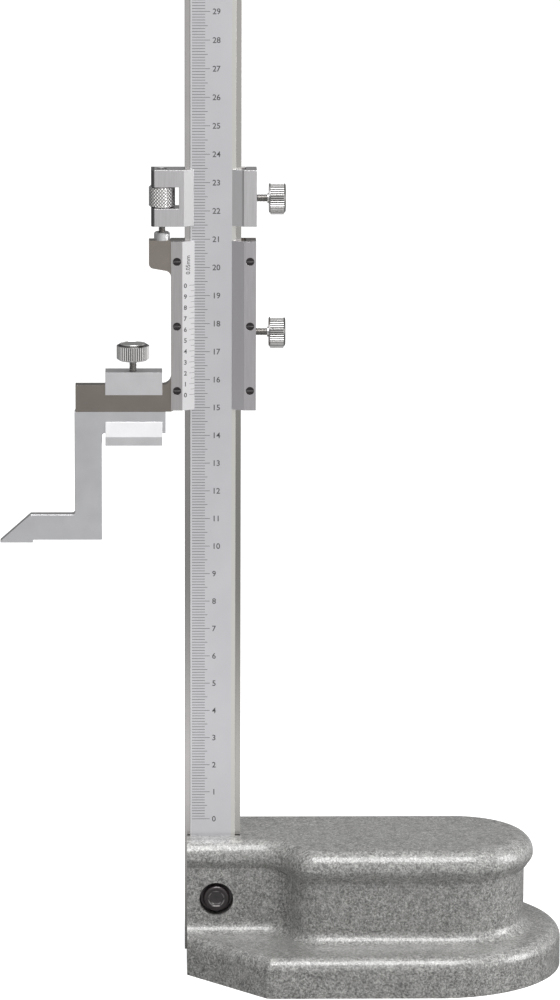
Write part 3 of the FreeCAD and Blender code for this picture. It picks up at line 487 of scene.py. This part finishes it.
def add_bar(bm, x0, x1, z, half, place):
    """A thin bar of a graduation, from x0 to x1 along the surface that place describes."""
    corners = []
    for out in (PROUD, -SINK):
        for x, dz in ((x0, -half), (x1, -half), (x1, half), (x0, half)):
            corners.append(bm.verts.new(place(x, z + dz, out)))
    front = corners[:4]
    back = corners[4:]
    bm.faces.new(front)
    bm.faces.new(back[::-1])
    for k in range(4):
        following = (k + 1) % 4
        bm.faces.new((front[k], back[k], back[following], front[following]))


def number_mesh(text, weight=0.0):
    """A flat number in the XY plane, set in a font of size 1 and made bolder by weight."""
    curve = bpy.data.curves.new("number", "FONT")
    curve.body = text
    curve.size = 1.0
    curve.offset = weight
    curve.resolution_u = 3
    item = bpy.data.objects.new("number", curve)
    bpy.context.scene.collection.objects.link(item)
    bpy.context.view_layer.update()
    graph = bpy.context.evaluated_depsgraph_get()
    mesh = bpy.data.meshes.new_from_object(item.evaluated_get(graph))
    bpy.data.objects.remove(item)
    bpy.data.curves.remove(curve)
    return mesh


def digit_height():
    """The height of a digit in a font of size 1."""
    mesh = number_mesh("8")
    height = max(v.co.y for v in mesh.vertices) - min(v.co.y for v in mesh.vertices)
    bpy.data.meshes.remove(mesh)
    return height


FONT_DIGIT = digit_height()


def add_number(bm, text, x, z, height, place, align, weight):
    """Adds a number of the given height, half way up at z. Its left end is at x where align is 0,
    and its middle where align is 0.5."""
    mesh = number_mesh(text, weight)
    xs = [v.co.x for v in mesh.vertices]
    ys = [v.co.y for v in mesh.vertices]
    anchor = min(xs) + align * (max(xs) - min(xs))
    half_way = (min(ys) + max(ys)) / 2
    factor = height / FONT_DIGIT
    verts = []
    for v in mesh.vertices:
        across, up = (v.co.x - anchor) * factor, (v.co.y - half_way) * factor
        verts.append(bm.verts.new(place(x + across, z + up, PROUD)))
    for polygon in mesh.polygons:
        bm.faces.new([verts[k] for k in polygon.vertices])
    bpy.data.meshes.remove(mesh)


def on_beam(x, z, out):
    """A point on the beam's graduated face."""
    return Vector((x, -out, z)) * MM


def on_bevel(x, z, out):
    """A point on the vernier's bevel, out along its normal."""
    run = Vector((VERNIER_EDGE - BEVEL_START, LIP_FRONT - PLATE_FRONT))
    share = (x - BEVEL_START) / run.x
    normal = Vector((run.y, -run.x)).normalized()
    return Vector((x + normal.x * out, PLATE_FRONT + share * run.y + normal.y * out, z)) * MM


def on_legend(along, across, out):
    """A point for what reads upward on the vernier's bevel, above its last number."""
    return on_bevel(LEGEND_X - across, LEGEND_Z + along, out)


def beam_scale():
    bm = bmesh.new()
    for mark in range(SCALE_LAST + 1):
        size = 10 if mark % 10 == 0 else 5 if mark % 5 == 0 else 1
        add_bar(bm, TICK_START, TICK_ENDS[size], SCALE_ZERO + mark, TICK_HALF, on_beam)
    for centimetre in range(SCALE_LAST // 10 + 1):
        for k, digit in enumerate(str(centimetre)):
            add_number(bm, digit, DIGIT_X + DIGIT_PITCH * k, SCALE_ZERO + 10 * centimetre,
                       DIGIT_HEIGHT, on_beam, align=0.5, weight=DIGIT_WEIGHT)
    mesh_object("beam_graduations", bm, INK, "stand")


def vernier_scale():
    bm = bmesh.new()
    for mark in range(VERNIER_MARKS + 1):
        z = VERNIER_ZERO + VERNIER_PITCH * mark
        numbered = mark % 2 == 0
        start = MARK_START if numbered else SHORT_MARK_START
        add_bar(bm, start, MARK_END, z, MARK_HALF, on_bevel)
        if numbered:
            add_number(bm, str(mark // 2 % 10), VERNIER_DIGIT_X, z, VERNIER_DIGIT_HEIGHT,
                       on_bevel, align=0.5, weight=VERNIER_DIGIT_WEIGHT)
    add_number(bm, "0.05mm", 0.0, 0.0, LEGEND_HEIGHT, on_legend, align=0.0, weight=DIGIT_WEIGHT)
    mesh_object("vernier_graduations", bm, INK, "slider")


beam_scale()
vernier_scale()


# Turned pieces, drawn in place of plainer solids

# How much smaller than a crest's radius a point may be and still count as on the crest.
CREST_SLACK = 0.01
SIDES_PER_CREST = 8

NUT_DIAMONDS = 24
NUT_KNURL_DEPTH = 0.22
# The darker grey is painted shade for the knurl's hollows.
NUT_TONE, NUT_VALLEY_SHADE = 0.92, 0.035
NUT_BORE = 1.4
# Each point is how far in from the rim, and how far from the end.
NUT_CHAMFER = ((0.55, 0.0), (0.12, 0.35))
NUT_BAND_START = 0.55
NUT_ROWS = 66

FEED_PITCH = 0.45
LOCK_PITCH = 0.5
THREAD_DEPTH = 0.61
THREAD_LEAD = 0.35
THREAD_SIDES = 24
ROWS_PER_TURN = 8

BOSS_LENGTH = 1.0
KNOB_RIDGES = 44
KNOB_DEPTH = 0.34
# Painted shade for the hollows between the ridges.
KNOB_VALLEY_SHADE = 0.06
LOCK_TONE, CLAMP_TONE = 0.53, 0.80
RIDGE_SHARPNESS = 1.3
# Radius and height of the hub and of the middle of the dished end. The back and the front are
# given by how far in from the rim, and by the height.
KNOB_HUB = ((1.36, -1.0), (1.75, -1.0), (1.75, -0.50))
KNOB_BACK = ((0.90, -0.50), (0.36, 0.05))
KNOB_BAND = (0.06, 4.70)
KNOB_BAND_ROWS = 6
# Past this height, the metal near the rim is painted dark as painted shade on the end chamfer.
KNOB_DARK_END = 4.75
KNOB_FRONT = ((0.36, 4.71), (1.05, 5.32), (1.35, 5.38), (1.45, 5.22), (1.70, 5.22), (1.82, 5.36),
              (3.2, 5.30))
KNOB_MIDDLE = (0.3, 5.25)

RIGHT = (1, 0, 0)
UP = (0, 0, 1)


def turned(name, node, body, material, profile, around, axis_point, direction, relief):
    """A turned piece in place of node. profile is (radius, height) from the axis point, and
    relief lowers the radius at an angle and a height."""
    bm = bmesh.new()
    rings = []
    turn = Vector(UP).rotation_difference(Vector(direction)).to_matrix()
    for radius, height in profile:
        ring = []
        for k in range(around):
            angle = FULL_TURN * k / around
            r = radius - relief(angle, height, radius)
            point = turn @ Vector((r * math.cos(angle), r * math.sin(angle), height))
            ring.append(bm.verts.new(Vector(axis_point) + point * MM))
        rings.append(ring)
    for low, high in zip(rings, rings[1:]):
        for k in range(around):
            following = (k + 1) % around
            bm.faces.new((low[k], low[following], high[following], high[k]))
    bm.faces.new(rings[0][::-1])
    bm.faces.new(rings[-1])
    item = mesh_object(name, bm, material, body)
    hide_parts(node)


def steps(start, end, count):
    return [start + (end - start) * k / count for k in range(count + 1)]


def triangle(t):
    """A wave that is 0 on whole numbers and 1 half way between."""
    return 1 - abs(2 * (t % 1.0) - 1)


def from_end(node, direction):
    """The axis that a node follows, the middle of its low end, its radius and its length."""
    low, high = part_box(node)
    along = direction.index(1)
    across = (along + 1) % 3
    start = (low + high) / 2
    start[along] = low[along]
    return along, start, (high[across] - low[across]) / MM / 2, (high[along] - low[along]) / MM


def feed_nut(name, node, body):
    """Diamond-knurled nut with a plain chamfer at each end."""
    along, start, rim, length = from_end(node, UP)
    slope = NUT_DIAMONDS / (FULL_TURN * rim)

    def relief(angle, height, radius):
        if radius < rim - CREST_SLACK:
            return 0.0
        turns = NUT_DIAMONDS * angle / FULL_TURN
        a = triangle(turns + height * slope)
        b = triangle(turns - height * slope)
        return NUT_KNURL_DEPTH * (1 - min(a, b))

    low_end = [(NUT_BORE, 0.0)] + [(rim - inward, z) for inward, z in NUT_CHAMFER]
    band = [(rim, z) for z in steps(NUT_BAND_START, length - NUT_BAND_START, NUT_ROWS)]
    high_end = [(radius, length - z) for radius, z in reversed(low_end)]
    skin = knurled_steel("nut_chrome", along, middle(node), rim, NUT_KNURL_DEPTH, NUT_TONE,
                         NUT_VALLEY_SHADE)
    turned(name, node, body, skin, low_end + band + high_end, NUT_DIAMONDS * SIDES_PER_CREST,
           start, UP, relief)


def threaded(name, node, body, pitch, direction):
    """A plain stem drawn again with its thread."""
    _, start, rim, length = from_end(node, direction)

    def relief(angle, height, radius):
        if radius < rim - CREST_SLACK:
            return 0.0
        return THREAD_DEPTH * pitch * triangle(height / pitch - angle / FULL_TURN)

    rows = int(length / pitch * ROWS_PER_TURN)
    profile = [(rim - THREAD_LEAD, 0.0)]
    profile += [(rim, z) for z in steps(THREAD_LEAD, length - THREAD_LEAD, rows)]
    profile += [(rim - THREAD_LEAD, length)]
    turned(name, node, body, THREAD, profile, THREAD_SIDES, start, direction, relief)


def thumb_knob(name, node, body, direction, tone):
    """Head of a thumb screw: a ridged band between two chamfers, and a dished end with a ring."""
    along, face, rim, _ = from_end(node, direction)
    face[along] += BOSS_LENGTH * MM

    def relief(angle, height, radius):
        if radius < rim - CREST_SLACK:
            return 0.0
        ridge = triangle(KNOB_RIDGES * angle / FULL_TURN)
        return KNOB_DEPTH * (1 - min(1.0, RIDGE_SHARPNESS * ridge))

    profile = [*KNOB_HUB]
    profile += [(rim - inward, z) for inward, z in KNOB_BACK]
    profile += [(rim, z) for z in steps(*KNOB_BAND, KNOB_BAND_ROWS)]
    profile += [(rim - inward, z) for inward, z in KNOB_FRONT]
    profile += [KNOB_MIDDLE]
    skin = knurled_steel(name + "_chrome", along, face, rim, KNOB_DEPTH, tone, KNOB_VALLEY_SHADE,
                         end=KNOB_DARK_END)
    turned(name, node, body, skin, profile, KNOB_RIDGES * SIDES_PER_CREST, face, direction, relief)


thumb_knob("slider_lock_head", "slider_lock_knob", "slider_lock_head", RIGHT, LOCK_TONE)
thumb_knob("carrier_lock_head", "carrier_lock_knob", "carrier_lock_head", RIGHT, LOCK_TONE)
thumb_knob("scriber_clamp_head", "scriber_clamp_knob", "scriber_clamp_head", UP, CLAMP_TONE)
feed_nut("feed_nut_knurled", "feed_nut", "feed_nut_ring")
threaded("feed_rod_thread", "feed_rod", "slider", FEED_PITCH, UP)
threaded("slider_lock_thread", "slider_lock_stem", "slider_lock_screw", LOCK_PITCH, RIGHT)
threaded("carrier_lock_thread", "carrier_lock_stem", "carrier_lock_screw", LOCK_PITCH, RIGHT)
threaded("scriber_clamp_thread", "scriber_clamp_stem", "scriber_clamp_screw", LOCK_PITCH, UP)

for name, node in NODES.items():
    if not node.hide_render:
        smooth(node, BEVELS.get(name, 0), FLATTER_EDGES.get(name, SHARP_FROM))


# Stage, light and camera

FLOOR_GREY = 0.60
FLOOR_GLOW = 0.75
FLOOR_RADIUS_M = 9.0
FLOOR_DROP = 0.1
# What reflections see on the floor, from far in front of the gauge to a little behind it.
FLOOR_START, FLOOR_END = -2500, 500
FLOOR_SEEN = ((0.0, 1.0), (0.30, 1.0), (0.55, 0.42), (0.65, 0.40), (0.75, 1.35), (0.793, 0.6),
              (0.833, 0.15), (0.933, 0.30))
SIDE_START, SIDE_END = 120, 520
RIGHT_SEEN, LEFT_SEEN = 1.0, 0.28

# What reflections see of the world: dark and bright ends of a ramp along one direction.
WORLD_TOWARD = (0.42, -0.50, 0.80)
WORLD_START, WORLD_END = -0.25, 0.80
WORLD_DARK, WORLD_BRIGHT = 0.22, 1.10
WORLD_ON_MATT = 0.46

# Name, place, target and size in metres, and power in watts.
SOFTBOXES = (
    ("overhead", (0.15, -0.70, 1.50), (0.0, 0.0, 0.15), (1.1, 1.0), 24),
    ("right", (1.5, -0.15, 0.55), (0.03, 0.0, 0.15), (0.7, 1.0), 14),
)

# The photograph's camera, as fitted to the graduations.
CAMERA_TILT, CAMERA_YAW, CAMERA_ROLL = 12.8, 1.2, 0.2
CAMERA_DISTANCE, CAMERA_HEIGHT, CAMERA_ASIDE = 1994.9, 623.6, 23.69
FOCAL_PIXELS = 5803.7
LONG_SIDE_PIXELS = 1000
SENSOR = 36.0


def floor_material():
    """Pale floor that reads as white and still takes the object's soft shadow. Reflections see a
    room on it: darker in front and on the left, bright on the right."""
    shade = Shader("studio_floor")
    place = shade.axes()
    diffuse = shade.add("ShaderNodeBsdfDiffuse")
    diffuse.inputs["Color"].default_value = (FLOOR_GREY, FLOOR_GREY, FLOOR_GREY, 1)
    front = shade.ramp(shade.ranged(place["Y"], start=FLOOR_START, end=FLOOR_END), *FLOOR_SEEN)
    is_right = shade.ranged(place["X"], start=SIDE_START, end=SIDE_END)
    is_left = shade.ranged(place["X"], start=-SIDE_START, end=-SIDE_END)
    reflected = shade.mixed(is_left, shade.mixed(is_right, front, (RIGHT_SEEN,) * 3),
                            (LEFT_SEEN,) * 3)
    path = shade.add("ShaderNodeLightPath")
    seen = shade.add("ShaderNodeEmission")
    glow = shade.maths("MULTIPLY", path.outputs["Is Camera Ray"], FLOOR_GLOW)
    shade.link(glow, seen.inputs["Strength"])
    both = shade.add("ShaderNodeAddShader")
    shade.link(diffuse.outputs[0], both.inputs[0])
    shade.link(seen.outputs[0], both.inputs[1])
    mirrored = shade.add("ShaderNodeEmission")
    shade.link(reflected, mirrored.inputs["Color"])
    either = shade.add("ShaderNodeMixShader")
    shade.link(path.outputs["Is Glossy Ray"], either.inputs["Fac"])
    shade.link(both.outputs[0], either.inputs[1])
    shade.link(mirrored.outputs[0], either.inputs[2])
    shade.tree.nodes.remove(shade.surface)
    shade.link(either.outputs[0], shade.out.inputs["Surface"])
    return shade.material


def make_floor():
    bm = bmesh.new()
    bmesh.ops.create_circle(bm, cap_ends=True, radius=FLOOR_RADIUS_M, segments=64)
    mesh = bpy.data.meshes.new("studio_floor")
    bm.to_mesh(mesh)
    bm.free()
    mesh.materials.append(floor_material())
    floor = bpy.data.objects.new("studio_floor", mesh)
    floor.location.z = -FLOOR_DROP * MM
    bpy.context.scene.collection.objects.link(floor)


def make_world():
    """White to the camera and even to matt surfaces. Reflections see it bright above and on the
    right, and darker low behind and on the left."""
    world = bpy.data.worlds.new("studio")
    bpy.context.scene.world = world
    world.use_nodes = True
    tree = world.node_tree
    tree.nodes.clear()
    out = tree.nodes.new("ShaderNodeOutputWorld")
    sky = tree.nodes.new("ShaderNodeBackground")
    sky.inputs["Color"].default_value = (1, 1, 1, 1)
    path = tree.nodes.new("ShaderNodeLightPath")

    def scaled(source, low, high, start=0.0, end=1.0):
        node = tree.nodes.new("ShaderNodeMapRange")
        for name, value in (("From Min", start), ("From Max", end), ("To Min", low),
                            ("To Max", high)):
            node.inputs[name].default_value = value
        tree.links.new(source, node.inputs["Value"])
        return node.outputs["Result"]

    where = tree.nodes.new("ShaderNodeTexCoord")
    toward = tree.nodes.new("ShaderNodeVectorMath")
    toward.operation = "DOT_PRODUCT"
    toward.inputs[1].default_value = WORLD_TOWARD
    tree.links.new(where.outputs["Generated"], toward.inputs[0])
    mirrored = scaled(toward.outputs["Value"], WORLD_DARK, WORLD_BRIGHT, WORLD_START, WORLD_END)
    straight = tree.nodes.new("ShaderNodeMath")
    straight.operation = "MAXIMUM"
    tree.links.new(path.outputs["Is Camera Ray"], straight.inputs[0])
    tree.links.new(path.outputs["Is Transmission Ray"], straight.inputs[1])
    either = tree.nodes.new("ShaderNodeMix")
    tree.links.new(path.outputs["Is Glossy Ray"], either.inputs["Factor"])
    tree.links.new(scaled(straight.outputs[0], WORLD_ON_MATT, 1.0), either.inputs["A"])
    tree.links.new(mirrored, either.inputs["B"])
    tree.links.new(either.outputs["Result"], sky.inputs["Strength"])
    tree.links.new(sky.outputs[0], out.inputs["Surface"])


def add_softbox(name, place, target, size, power):
    light = bpy.data.lights.new(name, "AREA")
    light.shape = "RECTANGLE"
    light.size, light.size_y = size
    light.energy = power
    item = bpy.data.objects.new(name, light)
    item.location = place
    item.rotation_euler = (Vector(target) - Vector(place)).to_track_quat("-Z", "Y").to_euler()
    bpy.context.scene.collection.objects.link(item)


def make_camera():
    tilt, yaw, roll = (math.radians(a) for a in (CAMERA_TILT, CAMERA_YAW, CAMERA_ROLL))
    turn = Matrix.Rotation(-yaw, 3, "Z")
    forward = Vector((0, math.cos(tilt), -math.sin(tilt)))
    level_up = Vector((0, math.sin(tilt), math.cos(tilt)))
    level_right = Vector(RIGHT)
    right = math.cos(roll) * level_right + math.sin(roll) * level_up
    up = -math.sin(roll) * level_right + math.cos(roll) * level_up
    data = bpy.data.cameras.new("camera")
    data.sensor_fit = "AUTO"
    data.sensor_width = SENSOR
    data.lens = FOCAL_PIXELS / LONG_SIDE_PIXELS * SENSOR
    data.clip_start, data.clip_end = 0.1, 50
    item = bpy.data.objects.new("camera", data)
    axes = Matrix((turn @ right, turn @ up, -(turn @ forward))).transposed()
    place = turn @ Vector((CAMERA_ASIDE, -CAMERA_DISTANCE, CAMERA_HEIGHT)) * MM
    item.matrix_world = Matrix.Translation(place) @ axes.to_4x4()
    bpy.context.scene.collection.objects.link(item)
    bpy.context.scene.camera = item


make_floor()
make_world()
for softbox in SOFTBOXES:
    add_softbox(*softbox)
make_camera()
bpy.context.scene.view_settings.view_transform = "Standard"
